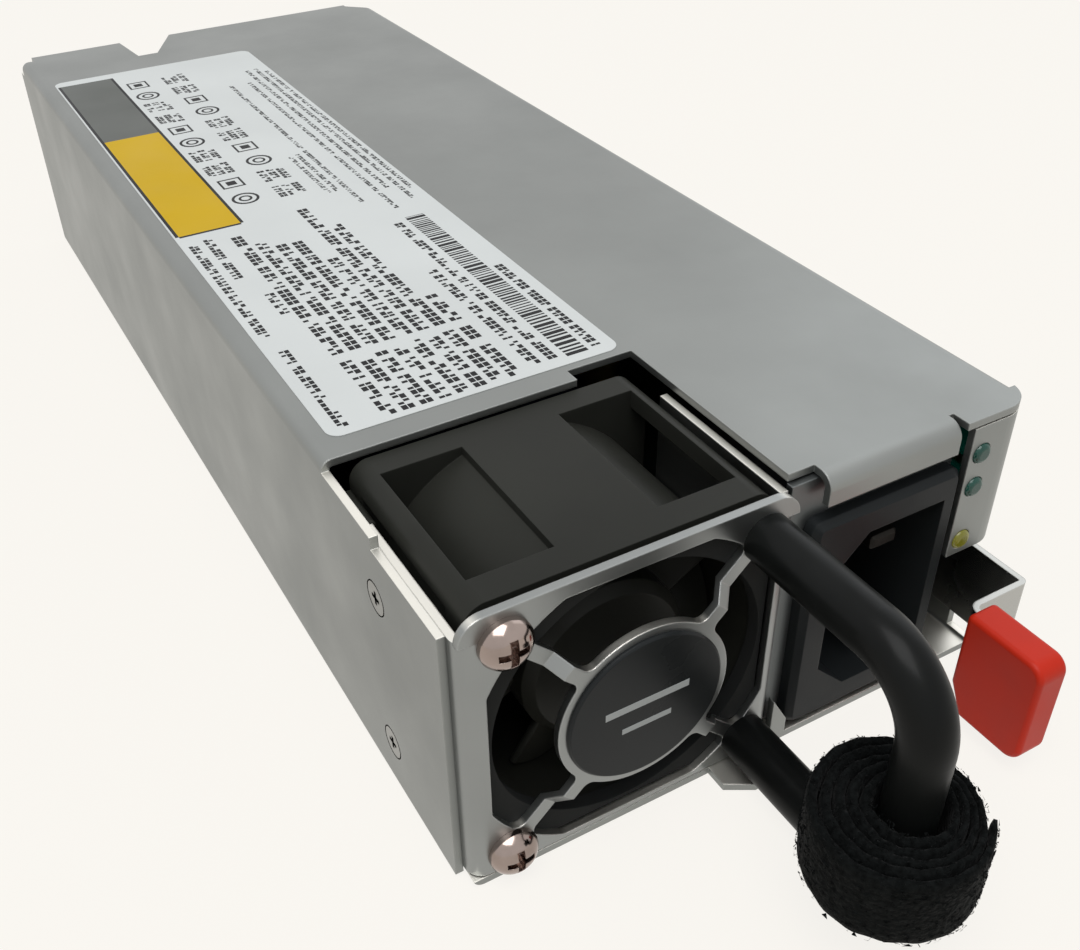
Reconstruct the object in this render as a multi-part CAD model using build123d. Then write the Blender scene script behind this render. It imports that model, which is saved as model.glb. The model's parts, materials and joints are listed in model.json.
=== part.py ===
from build123d import *
from math import cos, radians, sin, sqrt
import os

os.makedirs("parts", exist_ok=True)

# Hot swap server power supply, in millimetres.
# Origin: centre of the case's bottom face. +Z up, the fan and inlet face -Y, +Y is the plug-in end.

# Case
sheet = 1.0
case_length = 197.0
case_width = 77.4
bend = 1.5
seam = 0.3
slip = 0.05
fan_size = 38.0
case_height = fan_size + 2 * sheet
front = -case_length / 2
rear = case_length / 2
left = -case_width / 2
right = case_width / 2
wall_in = right - sheet
cut_over = 1.0

# Fan: a square frame round a duct, with open corner pockets
fan_side_gap = 3.0
fan_x = left + fan_side_gap + fan_size / 2
fan_z = sheet + fan_size / 2
fan_length = 28.0
fan_corner = 2.5
duct_wall = 1.0
duct_radius = fan_size / 2 - duct_wall
front_flange = 3.8
rear_flange = 3.6
pocket_share = 0.337
pocket_inner = pocket_share * fan_size / 2
pocket_post = 2.4
screw_inset = 3.0
screw_off = fan_size / 2 - screw_inset
gasket = 1.8
gasket_inset = 1.0
fan_front = front + sheet + gasket
fan_rear = fan_front + fan_length
tip_clearance = 0.6
hub_share = 0.59
hub_radius = hub_share * duct_radius
hub_wall = 1.2
hub_gap = 2.8
hub_depth = 16.0
blade_count = 7
blade_thickness = 1.0
blade_root_angle = 48.0
blade_tip_angle = 62.0
blade_share = 0.86
blade_camber = 0.09
motor_plate = 1.8
motor_radius = hub_radius + tip_clearance
strut_width = 2.4
sleeve_radius = 3.0
bearing_radius = 2.4
bearing_length = 2.5
shaft_radius = 1.5
magnet_thickness = 0.9
stator_share = 0.72
stator_radius = stator_share * hub_radius
stator_poles = 4
stator_slot = 1.6
stator_slot_depth = 3.0
stator_gap = 1.0
clip_length = 7.0
clip_height = 9.0
clip_drop = 4.0
clip_round = 0.5
clip_from_rear = 0.4

# Fan plate: the bright front grille, bent back at both sides and along its top edge
plate_lift = 1.2
plate_bend = 2.2
plate_corner = 3.0
plate_side_gap = 0.4
plate_left_flange = 22.0
plate_right_flange = 25.0
plate_flange_drop = 3.0
plate_flange_top = case_height - plate_flange_drop
plate_crest_drop = 1.5
grille_rim = 0.8
grille_half = fan_size / 2 - grille_rim
grille_over = 2.3
grille_radius = duct_radius + grille_over
grille_rise = 1.7
rise_outer = duct_radius - 2.4
rise_inner = rise_outer - 2.0
ring_lap = 0.3
ring_radius = hub_radius + ring_lap
spoke = 1.8
grille_fillet = 1.2
disc_inset = 1.0
disc_radius = ring_radius - disc_inset
disc_thickness = 0.5
plate_left = left + sheet
plate_right = fan_x + fan_size / 2 + plate_side_gap + sheet

# Top cover: top and left side in one bent sheet, with a short flange on the right
cover_flange = 7.0
cover_foot = 0.3
wall_setback = 2.5
window_gap = 0.5
window_right = plate_right + window_gap
window_rear = fan_rear + window_gap
window_step = 18.0
window_low = 3.0
window_high = 1.4
window_ear = 2.4
window_ear_from = 11.5
notch_width = 3.6
notch_depth = 3.0
lip_drop = 4.0
lip_bend = 2.0
lip_reach = 3.2
lip_inset = 1.9
lip_slit = 0.8
front_corner = 4.0
key_depth = 11.0
key_floor = 4.0
key_slant = 6.1
key_step = 1.2
key_from_fan = 0.0
rear_corner = 5.0
open_corner = 2.6

# Chassis base: floor, right side and a low left upstand in one bent sheet
upstand = 14.0
corner_return = 8.0
toe_width = 9.2
toe_length = 5.0
toe_chamfer = (3.4, 2.0)
front_lip_low = 3.3
front_lip_high = 7.5
tab_length = 12.0
tab_drop = 8.0
tab_from_front = 40.0
tab_from_rear = 47.0
tab_places = (tab_from_front, case_length - tab_from_rear)

# Handle: a black steel bail of round rod, staked through the plate
rod_radius = 3.0
leg_inset = 3.5
handle_pitch = fan_size - 2 * leg_inset
handle_reach = 25.5
handle_bend = 8.5
stake_radius = 1.5
stake_head = 2.2
stake_head_thickness = 1.0

# Strap: a hook-and-loop strip rolled round the handle
strap_width = 10.0
strap_radius = 9.8
strap_lean = (-1.1, 0.6)
strap_play = 1.4
strap_bottom = 9.4

# Inlet: a three pin mains inlet on end, its chamfered side towards the fan
bezel_gap = 3.0
bezel_share = 0.707
bezel_left = plate_right + bezel_gap
bezel_width = bezel_share * (right - seam - bezel_left)
bezel_right = bezel_left + bezel_width
bezel_lift = 1.3
bezel_drop = 6.6
bezel_height = case_height - bezel_lift - bezel_drop
bezel_thickness = 2.2
bezel_fillet = 0.8
mouth_left_margin = 3.8
mouth_side_margin = 2.4
mouth_end_margin = 3.85
mouth_width = bezel_width - mouth_left_margin - mouth_side_margin
mouth_height = bezel_height - 2 * mouth_end_margin
mouth_chamfer_share = 0.284
mouth_chamfer = mouth_chamfer_share * mouth_width
mouth_depth = 17.5
shell_wall = 1.6
pin_share = 0.247
pin_wide = pin_share * mouth_width
pin_thick = 2.0
pin_pitch = 14.0
pin_shift = pin_wide / 2
pin_recess = 2.4
earth_lead = 1.0
tab_tail = 7.0
mouth_x = bezel_right - mouth_side_margin - mouth_width / 2
mouth_z = bezel_lift + bezel_height / 2
panel_front = front + bezel_thickness
panel_foot = 9.0

# Lamps: three light pipes in the narrow strip beside the inlet
strip_left = bezel_right + seam
strip_height = 20.5
strip_bottom = case_height - strip_height
lamp_radius = 1.35
lamp_in = 1.9
lamp_length = 6.0
lamp_proud = 0.5
lamp_tops = (5.3, 10.2, 18.3)
lamp_board_thickness = 1.2
lamp_chip = 1.2

# Latch: a spring steel leaf along the right wall, with a red grip outside
leaf = 0.8
leaf_gap = 0.3
leaf_low = 5.2
leaf_drop = 2.5
leaf_high = strip_bottom - leaf_drop
leaf_pivot = 50.0
leaf_tail = 3.0
leaf_reach = 6.7
leaf_jog = 9.0
leaf_bend = 0.9
tongue_margin = 1.6
tongue_length = 8.5
rivet_head_share = 0.186
rivet_shank_share = 0.57
rivet_head = rivet_head_share * (leaf_high - leaf_low)
rivet_radius = rivet_shank_share * rivet_head
rivet_head_thickness = 0.7
rivet_play = 0.35
hook_from_front = 19.0
hook_length = 7.0
hook_margin = 2.4
hook_height = leaf_high - leaf_low - 2 * hook_margin
hook_rise = 2.2
hook_flat = 1.4
hook_window_gap = 0.8
grip_thickness = 4.6
grip_length = 11.6
grip_over = 0.8
grip_under = 2.9
grip_top = leaf_high + grip_over
grip_bottom = leaf_low - grip_under
grip_corner = 2.2
grip_round = 0.7
wall_end = 3.5

# Rear panel: perforated sheet with a slot for the card edge
panel_set = 0.6
vent_radius = 1.9
vent_pitch = 4.6
vent_side_margin = 3.0
vent_columns = int((case_width - 2 * vent_side_margin) // vent_pitch)
vent_rows = 4
vent_top_margin = 4.5
slot_gap = 1.2
rear_panel_foot = 7.0

# Board and what it carries
standoff = 4.0
standoff_radius = 2.4
board = 1.6
board_start = 34.0
board_side_gap = 4.2
board_left_gap = 1.0
board_end_gap = 2.4
edge_share = 0.595
edge_width = edge_share * case_width
edge_reach = 9.0
edge_shift = 6.0
finger_width = 2.6
finger_pitch = 3.6
finger_count = int(edge_width // finger_pitch)
finger_length = 7.0
finger_thickness = 0.2
finger_inset = 1.0
hole_inset = 3.6
hole_rear_inset = 12.0
board_screw_radius = 1.4
board_screw_head = 2.5
board_screw_head_thickness = 1.5
liner = 0.4
liner_gap = 0.6
rest = 0.15
floor_z = sheet
board_low = floor_z + standoff
board_top = board_low + board
board_left = left + 2 * sheet + board_left_gap
board_right = right - board_side_gap
board_front = front + board_start
board_rear = rear - board_end_gap
board_width = board_right - board_left
board_length = board_rear - board_front

# Large components on the board
row_share = 0.274
can_length = row_share * board_length
can_crimp = 1.6
can_start = 18.0
can_gap = 1.6
can_side_gap = 2.0
can_groove = 3.0
column_gap = 2.0
pfc_share = 0.061
pfc_radius = pfc_share * board_length
pfc_bore = 4.4
pfc_height = 18.0
can_radius = (board_width - 2 * pfc_radius - column_gap - can_side_gap - 2 * can_gap) / 4
line_choke_share = 0.056
line_choke_radius = line_choke_share * board_length
line_choke_bore = 4.0
line_choke_height = 16.0
line_cap_size = (9.0, row_share * board_length / 2, 17.0)
line_cap_in = 1.0
line_cap_round = 1.0
sink_length = row_share * board_length
sink_base = 2.4
sink_top_gap = 13.0
sink_height = case_height - sink_top_gap
sink_fin = 1.2
sink_fin_reach = 7.0
sink_fins = 6
sink_start = 2.0
sink_pitch = 14.0
sink_side = 14.2
core_gap = 3.0
core_sink_gap = 3.8
core_length = board_width - core_gap - core_sink_gap - sink_side - sink_pitch - sink_base / 2
core_width = 30.0
core_drop = 2.0
core_height = sink_height - core_drop
core_leg_share = 0.18
core_leg = core_leg_share * core_length
winding_proud = 3.0
out_can_radius = 4.0
out_can_height = 20.0
out_can_pitch = 8.8
out_can_count = int(edge_width // out_can_pitch)
out_can_gap = 4.0
out_can_bevel = 0.6
control_gap = 8.0
control_side = 1.0
control_drop = 3.0
control_width = edge_width - 2 * control_side
control_height = sink_height - control_drop
control_chips = 4
chip_size = (6.0, 1.2, 8.0)
chip_lift = 6.0

# Small fasteners on the case
case_screw_radius = 1.25
case_screw_head = 2.2
case_screw_length = 3.4
case_screw_sink = 0.8
wall_screw_y = 18.2
wall_screw_down = 12.9
wall_screw_up = 10.1
wall_screw_z = (fan_z - wall_screw_down, fan_z + wall_screw_up)
fan_screw_radius = 1.6
fan_screw_head = 3.0
fan_screw_dome = 2.3
fan_screw_rim = 0.7
fan_screw_curve = (2.2, 1.85)
cross_width = 0.9
cross_reach = 1.7
cross_depth = 1.4


def block(x0, x1, y0, y1, z0, z1):
    """A box between two corners."""
    return Pos((x0 + x1) / 2, (y0 + y1) / 2, (z0 + z1) / 2) * Box(x1 - x0, y1 - y0, z1 - z0)


def bent(points, radius, thickness=sheet):
    """The section of a sheet bent along the points, thickened to the left of the way it runs."""
    return make_face(offset(FilletPolyline(*points, radius=radius), amount=thickness, side=Side.LEFT))


def outline(*points):
    """A flat face with straight edges."""
    return make_face(Polyline(*points, close=True))


def along_x(face, x0, x1):
    """A section drawn in Y and Z, drawn out along X."""
    return extrude(Pos(x0, 0, 0) * (Plane.YZ * face), amount=x1 - x0)


def along_y(face, y0, y1):
    """A section drawn in X and Z, drawn out along Y."""
    return extrude(Pos(0, y1, 0) * (Plane.XZ * face), amount=y1 - y0)


def along_z(face, z0, z1):
    """A section drawn in X and Y, drawn out along Z."""
    return extrude(Pos(0, 0, z0) * face, amount=z1 - z0)


def round_x(x0, x1, y, z, radius):
    """A round bar along X."""
    return along_x(Pos(y, z) * Circle(radius), x0, x1)


def round_y(x, y0, y1, z, radius):
    """A round bar along Y."""
    return along_y(Pos(x, z) * Circle(radius), y0, y1)


def round_z(x, y, z0, z1, radius):
    """A round bar along Z."""
    return along_z(Pos(x, y) * Circle(radius), z0, z1)


def turned_y(x, z, *points):
    """A body turned about an axis along Y; the points are (radius, y)."""
    section = Pos(x, 0, z) * outline(*points)
    return revolve(section, Axis((x, 0, z), (0, 1, 0)))


def turned_x(y, z, *points):
    """A body turned about an axis along X; the points are (x, radius)."""
    section = Pos(0, y, z) * outline(*points)
    return revolve(section, Axis((0, y, z), (1, 0, 0)))


def turned_z(x, y, *points):
    """A body turned about an axis along Z; the points are (radius, z)."""
    section = Pos(x, y, 0) * (Plane.XZ * outline(*points))
    return revolve(section, Axis((x, y, 0), (0, 0, 1)))


def flush_screw(x_face, inward, y, z, grow=0.0):
    """A countersunk screw along X with its head flush in a wall; grown, it cuts its own hole."""
    return turned_x(
        y, z,
        (x_face, 0),
        (x_face, case_screw_head + grow),
        (x_face + inward * case_screw_sink, case_screw_radius + grow),
        (x_face + inward * (case_screw_length + grow), case_screw_radius + grow),
        (x_face + inward * (case_screw_length + grow), 0),
    )


def wall_screw_places():
    """Where the left wall is screwed to the fan plate's flange."""
    return [(left, 1, front + wall_screw_y, z) for z in wall_screw_z]


def cover_screw_places():
    """Where the cover's right flange is screwed to the tabs of the base."""
    return [(right, -1, front + y, case_height - cover_flange / 2) for y in tab_places]


def top_cover():
    """Top, left side and right flange as one bent sheet, with a window over the fan."""
    top = case_height
    section = bent([(right, top - cover_flange), (right, top), (left, top), (left, cover_foot)], bend)
    cover = along_y(section, front + wall_setback, rear)
    lip_left = window_right + notch_width
    lip_right = bezel_right - lip_inset
    lip = bent([(front + lip_reach, top), (front, top), (front, top - lip_drop)], lip_bend)
    cover += along_x(lip, lip_left, lip_right)
    cover += block(lip_right + lip_slit, right, front, front + lip_reach, top - sheet, top)
    over = top + cut_over
    cover -= block(left - cut_over, window_right, front - cut_over, front + window_step,
                   top - window_low, over)
    cover -= block(left - cut_over, window_right, front, window_rear, top - window_high, over)
    ear_left = fan_x + window_ear_from
    cover -= block(ear_left, window_right, front, window_rear + window_ear, top - window_high, over)
    cover -= block(window_right - cut_over, lip_left, front - cut_over, front + notch_depth,
                   top - window_high, over)
    cover -= block(wall_in, right + cut_over, front - cut_over, front + corner_return + seam, 0, top - sheet)
    corner = block(right - front_corner, right + cut_over, front - cut_over, front + front_corner, 0, over)
    corner -= round_z(right - front_corner, front + front_corner, -cut_over, over + cut_over, front_corner)
    cover -= corner
    key_left = fan_x + key_from_fan
    key = outline(
        (key_left - key_step, rear + cut_over),
        (key_left, rear - key_depth),
        (key_left + key_floor, rear - key_depth),
        (key_left + key_floor + key_slant, rear + cut_over),
    )
    cover -= along_z(key, top - sheet - cut_over, over)
    bevel = outline((right - rear_corner, rear + cut_over), (right + cut_over, rear + cut_over),
                    (right + cut_over, rear - rear_corner), (right - sheet, rear - rear_corner),
                    (right - rear_corner, rear - sheet))
    cover -= along_z(bevel, 0, over)
    cover -= block(left - cut_over, left + open_corner, rear - open_corner, rear + cut_over,
                   top - open_corner, over)
    for place in wall_screw_places() + cover_screw_places():
        cover -= flush_screw(*place, grow=slip)
    return cover


def chassis_base():
    """Floor, right side and low left upstand, with the lamp strip folded in at the front."""
    side_top = case_height - cover_flange - seam
    section = bent([(left + sheet, upstand), (left + sheet, 0), (right, 0), (right, side_top)], bend)
    base = along_y(section, front, rear)
    base -= block(right - bend, right + cut_over, front - cut_over, front + wall_end, bend, case_height)
    flange_end = front + plate_left_flange + cut_over
    base -= block(left, left + 2 * sheet + bend, front - cut_over, flange_end, sheet, upstand + cut_over)
    strip = bent([(strip_left, front), (right, front), (right, front + corner_return)], front_corner)
    base += along_z(strip, strip_bottom, case_height - sheet - seam)
    toe_half = toe_width / 2
    toe_x = fan_x + screw_off
    toe_front = front - toe_length
    toe = outline(
        (toe_x - toe_half, front + sheet),
        (toe_x - toe_half, toe_front + toe_chamfer[1]),
        (toe_x - toe_half + toe_chamfer[0], toe_front),
        (toe_x + toe_half - toe_chamfer[0], toe_front),
        (toe_x + toe_half, toe_front + toe_chamfer[1]),
        (toe_x + toe_half, front + sheet),
    )
    base += along_z(toe, 0, sheet)
    lip_start = plate_right + seam
    lip_end = bezel_left - seam
    lip = outline((lip_start, 0), (lip_end, 0), (lip_end, front_lip_low), (lip_start, front_lip_high))
    base += along_y(lip, front, front + sheet)
    for y in tab_places:
        middle = front + y
        base += block(wall_in - sheet, wall_in, middle - tab_length / 2, middle + tab_length / 2,
                      side_top - tab_drop, case_height - sheet - bend)
    for place in cover_screw_places():
        base -= flush_screw(*place, grow=slip)
    for z in lamp_heights():
        base -= round_y(strip_left + lamp_in, front - cut_over, front + 2 * sheet, z, lamp_radius + slip)
    for z in rivet_heights():
        base -= round_x(wall_in - cut_over, right + cut_over, front + leaf_pivot, z, rivet_radius + slip)
    half = hook_height / 2 + hook_window_gap
    start = front + hook_from_front
    base -= block(wall_in - cut_over, right + cut_over, start - hook_window_gap,
                  start + hook_length + hook_window_gap, leaf_middle() - half, leaf_middle() + half)
    return base


def grille_openings():
    """Four air openings between the middle, the spokes and an outer circle with flattened sides."""
    rings = (Circle(grille_radius) & Rectangle(2 * grille_half, 2 * grille_half)) - Circle(ring_radius)
    bars = Rot(0, 0, 45) * Rectangle(3 * grille_radius, spoke)
    bars += Rot(0, 0, -45) * Rectangle(3 * grille_radius, spoke)
    openings = rings - bars
    return fillet(openings.vertices(), grille_fillet)


def raised_middle():
    """The middle of the grille, pressed forward with a sloped rim."""
    raised = front - grille_rise
    return turned_y(
        fan_x, fan_z, (0, raised), (rise_inner, raised), (rise_outer, front), (rise_outer, front + sheet),
        (rise_inner, raised + sheet), (0, raised + sheet))


def fan_plate():
    """Front grille with both side flanges and a middle pressed forward."""
    top = case_height
    path = [(plate_left, front + plate_left_flange), (plate_left, front), (plate_right, front),
            (plate_right, front + plate_right_flange)]
    plate = along_z(bent(path, plate_bend), plate_lift, plate_flange_top)
    centre = (plate_left + plate_right) / 2
    width = plate_right - plate_left
    head = Pos(centre, top - width / 2) * RectangleRounded(width, width, plate_corner)
    head = along_y(head, front, front + sheet)
    plate += head & block(plate_left, plate_right, front, front + sheet, plate_flange_top, top)
    plate += block(plate_right - sheet, plate_right, front + plate_bend, front + plate_right_flange,
                   plate_flange_top - sheet, top - plate_crest_drop)
    plate -= round_y(fan_x, front - cut_over, front + 2 * sheet, fan_z, rise_outer)
    plate += raised_middle()
    plate -= along_y(Pos(fan_x, fan_z) * grille_openings(), front - grille_rise - cut_over, front + 2 * sheet)
    for up in (-1, 1):
        plate -= round_y(fan_x - screw_off, front - cut_over, front + 2 * sheet,
                         fan_z + up * screw_off, fan_screw_radius + slip)
        plate -= round_y(fan_x + screw_off, front - cut_over, front + 2 * sheet,
                         fan_z + up * handle_pitch / 2, stake_radius + slip)
    for place in wall_screw_places():
        plate -= flush_screw(*place, grow=slip)
    return plate


def fan_disc():
    """Plain black disc on the raised middle of the grille."""
    seat = front - grille_rise
    disc = round_y(fan_x, seat - disc_thickness, seat, fan_z, disc_radius)
    rim = disc.edges().group_by(Axis.Y)[0]
    return chamfer(rim, disc_thickness / 2)


def fan_gasket():
    """Soft square ring that seats the fan on the back of the plate."""
    wide = fan_size - 2 * gasket_inset
    ring = RectangleRounded(wide, wide, fan_corner) - Circle(duct_radius - tip_clearance)
    notch = 2 * (stake_head + seam)
    for up in (-1, 1):
        ring -= Pos(-screw_off, up * screw_off) * Circle(fan_screw_radius + 2 * slip)
        corner = Pos(screw_off + notch / 2, up * (handle_pitch / 2 + notch / 2))
        ring -= corner * Rectangle(2 * notch, 2 * notch)
    return along_y(Pos(fan_x, fan_z) * ring, front + sheet, fan_front)


def fan_frame():
    """Square fan frame: duct, end flanges, corner posts, motor plate, struts and bearing sleeve."""
    square = Pos(fan_x, fan_z) * RectangleRounded(fan_size, fan_size, fan_corner)
    frame = along_y(square, fan_front, fan_rear)
    half = fan_size / 2
    low = fan_front + front_flange
    high = fan_rear - rear_flange
    pocket_outer = half - pocket_post
    slots = block(pocket_inner, pocket_outer, low, high, 0, half + cut_over)
    slots += block(0, half + cut_over, low, high, pocket_inner, pocket_outer)
    slots -= round_y(0, low - cut_over, high + cut_over, 0, duct_radius + duct_wall)
    for quarter in range(4):
        frame -= Pos(fan_x, 0, fan_z) * (Rot(0, 90 * quarter, 0) * slots)
    frame -= round_y(fan_x, fan_front - cut_over, fan_rear + cut_over, fan_z, duct_radius)
    motor_front = fan_rear - motor_plate
    frame += round_y(fan_x, motor_front, fan_rear, fan_z, motor_radius)
    reach = duct_radius + duct_wall / 2
    for quarter in range(4):
        strut = along_y(Rot(0, 0, 45 + 90 * quarter) * Pos(reach / 2, 0) * Rectangle(reach, strut_width),
                        motor_front, fan_rear)
        frame += Pos(fan_x, 0, fan_z) * strut
    sleeve_front = hub_face() + hub_wall + bearing_length
    frame += round_y(fan_x, sleeve_front, motor_front, fan_z, sleeve_radius)
    frame -= round_y(fan_x, sleeve_front - cut_over, motor_front, fan_z, bearing_radius + slip / 2)
    for up in (-1, 1):
        frame -= round_y(fan_x - screw_off, fan_front - cut_over, low + cut_over,
                         fan_z + up * screw_off, fan_screw_radius + slip)
    return frame


def hub_face():
    """Where the front face of the fan's hub lies."""
    return fan_front + hub_gap


def blade():
    """One twisted blade, lofted from root to tip and trimmed to the duct's clearance."""
    middle = hub_face() + hub_depth / 2
    root = hub_radius - hub_wall
    tip = duct_radius + tip_clearance
    chord = hub_depth * blade_share
    ends = []
    for radius, angle in ((root, blade_root_angle), (tip, blade_tip_angle)):
        length = chord / cos(radians(angle)) * cos(radians(blade_root_angle))
        sag = length * blade_camber
        curve = ThreePointArc((-length / 2, 0), (0, sag), (length / 2, 0))
        face = make_face(offset(curve, amount=blade_thickness / 2))
        plane = Plane(origin=(radius, middle, 0), x_dir=(0, cos(radians(angle)), sin(radians(angle))),
                      z_dir=(1, 0, 0))
        ends.append(plane * face)
    solid = loft(ends)
    span = Circle(duct_radius - tip_clearance) - Circle(hub_radius - hub_wall / 2)
    return solid & along_y(span, hub_face(), hub_face() + hub_depth)


def fan_rotor():
    """Hub cup with its twisted blades and the boss that takes the shaft."""
    face = hub_face()
    inner = hub_radius - hub_wall
    hub = turned_y(
        0, 0,
        (shaft_radius + slip, face + hub_wall / 2),
        (shaft_radius + slip, face + hub_wall + bearing_length / 2),
        (2 * shaft_radius, face + hub_wall + bearing_length / 2),
        (2 * shaft_radius, face + hub_wall),
        (inner, face + hub_wall),
        (inner, face + hub_depth),
        (hub_radius, face + hub_depth),
        (hub_radius, face + hub_wall),
        (hub_radius - hub_wall, face),
        (0, face),
        (0, face + hub_wall / 2),
    )
    one = blade()
    for index in range(blade_count):
        hub += Rot(0, 360 * index / blade_count, 0) * one
    return Pos(fan_x, 0, fan_z) * hub


def fan_magnet():
    """Ring magnet inside the hub."""
    outer = hub_radius - hub_wall - slip
    ring = Pos(fan_x, fan_z) * (Circle(outer) - Circle(outer - magnet_thickness))
    return along_y(ring, hub_face() + hub_wall + bearing_length, hub_face() + hub_depth - hub_wall)


def fan_shaft():
    """Steel shaft, fixed in the hub and running in the bearings."""
    start = hub_face() + hub_wall / 2 + slip
    end = fan_rear - motor_plate - slip
    shaft = round_y(fan_x, start, end, fan_z, shaft_radius)
    return chamfer(shaft.edges().group_by(Axis.Y)[-1], shaft_radius / 5)


def fan_bearings():
    """Two ball bearings in the sleeve, as plain rings."""
    sleeve_front = hub_face() + hub_wall + bearing_length
    sleeve_back = fan_rear - motor_plate
    ring = Pos(fan_x, fan_z) * (Circle(bearing_radius) - Circle(shaft_radius + slip))
    first = along_y(ring, sleeve_front, sleeve_front + bearing_length)
    second = along_y(ring, sleeve_back - bearing_length, sleeve_back)
    return Compound(children=[first, second])


def fan_stator():
    """Wound laminated stator on the sleeve."""
    core = Circle(stator_radius) - Circle(sleeve_radius + slip)
    for index in range(stator_poles):
        turn = 360 / stator_poles * (index + 0.5)
        core -= Rot(0, 0, turn) * Pos(stator_radius, 0) * Rectangle(2 * stator_slot_depth, stator_slot)
    start = hub_face() + hub_wall + bearing_length + stator_gap
    return along_y(Pos(fan_x, fan_z) * core, start, start + hub_depth / 2)


def fan_screws():
    """Two bright pan head screws with a cross recess, through the plate into the fan."""
    screws = []
    for up in (-1, 1):
        x = fan_x - screw_off
        z = fan_z + up * screw_off
        end = fan_front + front_flange - slip
        dome = front - fan_screw_dome
        profile = make_face([
            Polyline((0, dome), (0, end), (fan_screw_radius, end), (fan_screw_radius, front),
                     (fan_screw_head, front), (fan_screw_head, front - fan_screw_rim)),
            ThreePointArc((fan_screw_head, front - fan_screw_rim),
                          (fan_screw_curve[0], front - fan_screw_curve[1]), (0, dome)),
        ])
        screw = revolve(Pos(x, 0, z) * profile, Axis((x, 0, z), (0, 1, 0)))
        cross = Rectangle(2 * cross_reach, cross_width) + Rectangle(cross_width, 2 * cross_reach)
        screw -= along_y(Pos(x, z) * cross, dome - cut_over, dome + cross_depth)
        screws.append(screw)
    return Compound(children=screws)


def fan_clip():
    """Small block wedged between the fan's rear flange and the left wall."""
    end = fan_rear - clip_from_rear
    top = case_height - clip_drop
    fan_side = fan_x - fan_size / 2
    clip = block(left + sheet + slip, fan_side - slip, end - clip_length, end, top - clip_height, top)
    return fillet(clip.edges().group_by(Axis.Z)[-1], clip_round)


def handle():
    """Round rod bail with two straight legs, each staked through the fan plate."""
    x = fan_x + screw_off
    high = fan_z + handle_pitch / 2
    low = fan_z - handle_pitch / 2
    out = front - handle_reach
    corners = ((x, front, high), (x, out, high), (x, out, low), (x, front, low))
    path = FilletPolyline(*corners, radius=handle_bend)
    bail = sweep(Plane(origin=(x, front, high), z_dir=(0, -1, 0)) * Circle(rod_radius), path=path)
    back = front + sheet
    for z in (low, high):
        bail += round_y(x, front, back + stake_head_thickness, z, stake_radius)
        bail += round_y(x, back, back + stake_head_thickness, z, stake_head)
    return bail


def strap():
    """The rolled strap as one plain ring that leans on the upright of the handle."""
    x = fan_x + screw_off
    ring = Pos(*strap_lean) * Circle(strap_radius) - Circle(rod_radius + strap_play)
    return along_z(Pos(x, front - handle_reach) * ring, strap_bottom, strap_bottom + strap_width)


def mouth(grow=0.0):
    """The inlet's outline: a rectangle with both corners towards the fan cut off."""
    half_x = mouth_width / 2 + grow
    half_z = mouth_height / 2 + grow
    cut = mouth_chamfer
    return Pos(mouth_x, mouth_z) * outline(
        (half_x, -half_z), (half_x, half_z), (cut - half_x, half_z), (-half_x, half_z - cut),
        (-half_x, cut - half_z), (cut - half_x, -half_z))


def pin_places():
    """Line and neutral above each other, earth between them on the chamfered side."""
    half = pin_pitch / 2
    return [(pin_shift, half, 0), (pin_shift, -half, 0), (-pin_shift, 0, earth_lead)]


def inlet_body():
    """Moulded mains inlet: bezel, deep socket and a closed back with three slots."""
    bezel = Pos((bezel_left + bezel_right) / 2, mouth_z) * RectangleRounded(
        bezel_width, bezel_height, 2 * bezel_fillet)
    body = along_y(bezel, front, panel_front)
    body = chamfer(body.edges().group_by(Axis.Y)[0], bezel_fillet)
    back = front + mouth_depth + shell_wall
    body += along_y(mouth(shell_wall), front + bezel_fillet, back)
    body -= along_y(mouth(), front - cut_over, front + mouth_depth)
    for dx, dz, lead in pin_places():
        slot = Pos(mouth_x + dx, mouth_z + dz) * Rectangle(pin_wide + 2 * slip, pin_thick + 2 * slip)
        body -= along_y(slot, front + mouth_depth - cut_over, back + cut_over)
    return body


def inlet_pins():
    """Three flat blades that end in tabs behind the inlet."""
    pins = []
    for dx, dz, lead in pin_places():
        tip = front + pin_recess - lead
        end = front + mouth_depth + shell_wall + tab_tail
        blade_face = Pos(mouth_x + dx, mouth_z + dz) * RectangleRounded(pin_wide, pin_thick, pin_thick / 4)
        pin = along_y(blade_face, tip, end)
        pins.append(chamfer(pin.faces().sort_by(Axis.Y)[0].edges(), pin_thick / 5))
    return Compound(children=pins)


def front_panel():
    """Sheet behind the inlet's bezel, bent back along the floor."""
    top = case_height - sheet - seam
    path = [(panel_front + panel_foot, floor_z), (panel_front, floor_z), (panel_front, top)]
    section = make_face(offset(FilletPolyline(*path, radius=bend), amount=sheet, side=Side.RIGHT))
    panel = along_x(section, plate_right + 2 * seam, bezel_right)
    panel -= along_y(mouth(shell_wall + slip), panel_front - cut_over, panel_front + 2 * sheet)
    return panel


def lamp_heights():
    """Heights of the three lamps, from the top of the case down."""
    return [case_height - drop for drop in lamp_tops]


def light_pipe(z):
    """One clear light pipe with a rounded end."""
    pipe = round_y(strip_left + lamp_in, front - lamp_proud, front + sheet + lamp_length, z, lamp_radius)
    return fillet(pipe.edges().group_by(Axis.Y)[0], lamp_radius / 2)


def lamp_board():
    """Small board behind the lamp strip, with one chip behind each pipe."""
    start = front + sheet + lamp_length + lamp_chip
    plate = block(strip_left - seam, wall_in, start, start + lamp_board_thickness, strip_bottom,
                  case_height - 2 * sheet)
    for z in lamp_heights():
        x = strip_left + lamp_in
        plate += block(x - lamp_chip, x + lamp_chip, start - lamp_chip, start, z - lamp_chip, z + lamp_chip)
    return plate


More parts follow.
